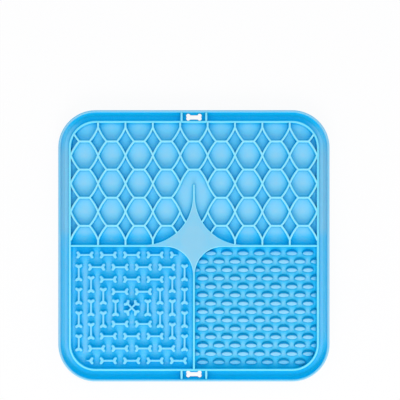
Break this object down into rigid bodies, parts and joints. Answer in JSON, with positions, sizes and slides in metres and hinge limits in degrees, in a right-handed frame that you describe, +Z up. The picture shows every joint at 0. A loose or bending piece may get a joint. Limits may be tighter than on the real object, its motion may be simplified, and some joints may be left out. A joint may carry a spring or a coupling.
{
  "type": "lick mat",
  "caption": "Square silicone lick mat with honeycomb cells, rings of raised bones and rows of oval pips round a star, inside a gutter with hanging holes, on suction cups.",
  "frame": {"origin": "middle of the plane that the suction cups stand on", "axes": "+Z up through the mat, +Y towards the honeycomb's side, +X towards the pips' side"},
  "size_m": [0.2, 0.2, 0.0113],
  "materials": {
    "silicone": "satin"
  },
  "bodies": {
    "root": {"floor_sheet": "silicone", "outer_lip": "silicone", "inner_wall": "silicone", "tab_ribs": "silicone", "cross_divider": "silicone", "lower_divider": "silicone", "star": "silicone", "honeycomb_middle": "silicone", "honeycomb_left_1": "silicone", "honeycomb_left_2": "silicone", "honeycomb_left_3": "silicone", "honeycomb_left_4": "silicone", "honeycomb_right_1": "silicone", "honeycomb_right_2": "silicone", "honeycomb_right_3": "silicone", "honeycomb_right_4": "silicone", "bone_ring_1": "silicone", "bone_ring_2": "silicone", "bone_ring_3": "silicone", "bone_ring_4": "silicone", "crossed_bones": "silicone", "oval_pips": "silicone", "suction_cups": "silicone"}
  },
  "joints": []
}
